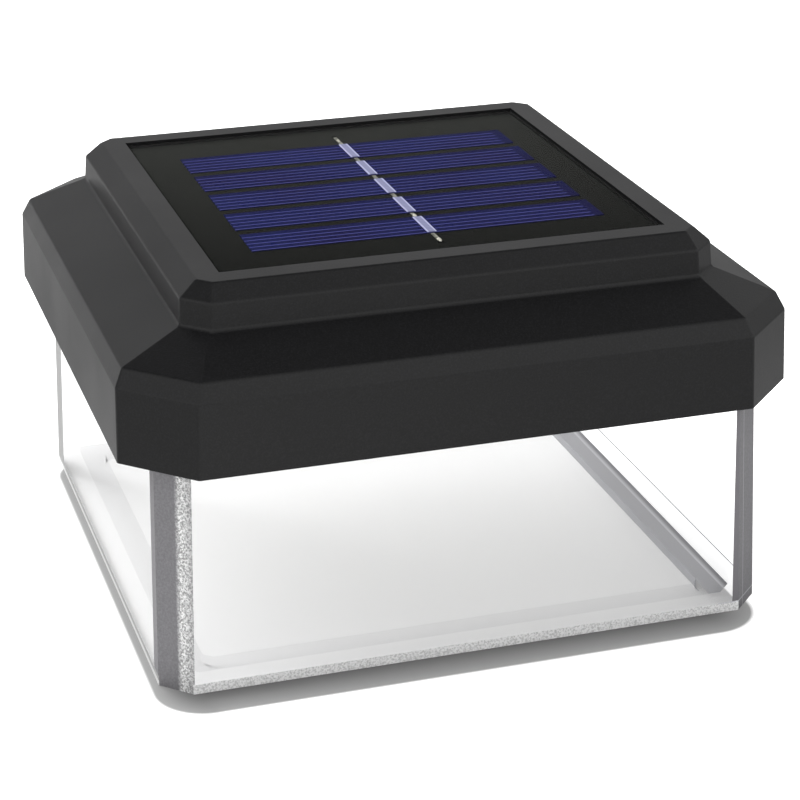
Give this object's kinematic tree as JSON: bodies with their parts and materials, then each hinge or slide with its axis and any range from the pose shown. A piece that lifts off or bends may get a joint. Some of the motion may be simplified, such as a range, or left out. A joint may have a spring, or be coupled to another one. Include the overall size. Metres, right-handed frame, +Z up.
{
  "type": "fence light",
  "caption": "Solar fence light: a black stepped square cap with a recessed solar panel on a clear open-bottomed square lens that rests on a post top, lamps and battery inside.",
  "frame": {"origin": "centre of the lens's bottom rim, where the light rests on the post top", "axes": "+Z up through the cap; -Y is the front wall, the solar strips run along X; +X right seen from the front"},
  "size_m": [0.108, 0.108, 0.0624],
  "materials": {
    "cap_black": "fine spark texture",
    "lens_clear": "clear, frosted at the corner posts",
    "plate_white": "satin",
    "cover_clear": "clear resin",
    "panel_black": "satin",
    "cell_indigo": "polished",
    "tab_silver": "tinned",
    "foam_black": "foam",
    "sealant_black": "satin",
    "gasket_rubber": "satin",
    "screw_steel": "zinc plated",
    "battery_jacket": "printed-free film sleeve",
    "contact_nickel": "nickel plated",
    "board_green": "solder mask",
    "chip_black": "moulded epoxy",
    "ferrite": "sintered",
    "winding_copper": "enamelled wire",
    "can_aluminium": "drawn can",
    "led_clear": "clear epoxy",
    "switch_steel": "tinned sheet",
    "slider_black": "fine",
    "wire_red": "insulated",
    "wire_black": "insulated",
    "wire_yellow": "insulated"
  },
  "bodies": {
    "housing": {"base_plate": "plate_white", "battery_cell": "battery_jacket", "battery_wire_negative": "wire_black", "battery_wire_positive": "wire_red", "board_screws": "screw_steel", "bus_ribbons": "tab_silver", "bus_tabs": "tab_silver", "cap_shell": "cap_black", "capacitor": "can_aluminium", "circuit_board": "board_green", "contact_negative": "contact_nickel", "contact_positive": "contact_nickel", "contact_spring": "contact_nickel", "driver_chip": "chip_black", "hinge_pin": "screw_steel", "inductor_coil": "winding_copper", "inductor_core": "ferrite", "led_lamps": "led_clear", "led_leads": "contact_nickel", "lens_gasket": "gasket_rubber", "lens_screws": "screw_steel", "lens_sleeve": "lens_clear", "panel_cover": "cover_clear", "panel_sealant": "sealant_black", "panel_tape": "foam_black", "solar_board": "panel_black", "solar_cells": "cell_indigo", "solar_wire_negative": "wire_black", "solar_wire_positive": "wire_red", "switch_body": "switch_steel", "switch_screws": "screw_steel", "switch_wires": "wire_yellow"},
    "door": {"battery_door": "plate_white"},
    "switch_knob": {"switch_slider": "slider_black"}
  },
  "joints": [
    {"name": "door_hinge", "type": "hinge", "parent": "housing", "child": "door", "pos_m": [0, 0.0318, 0.0414], "axis": [1, 0, 0], "range_deg": [0, 100]},
    {"name": "switch_slide", "type": "slide", "parent": "housing", "child": "switch_knob", "axis": [0, 1, 0], "range_m": [0, 0.002]}
  ]
}
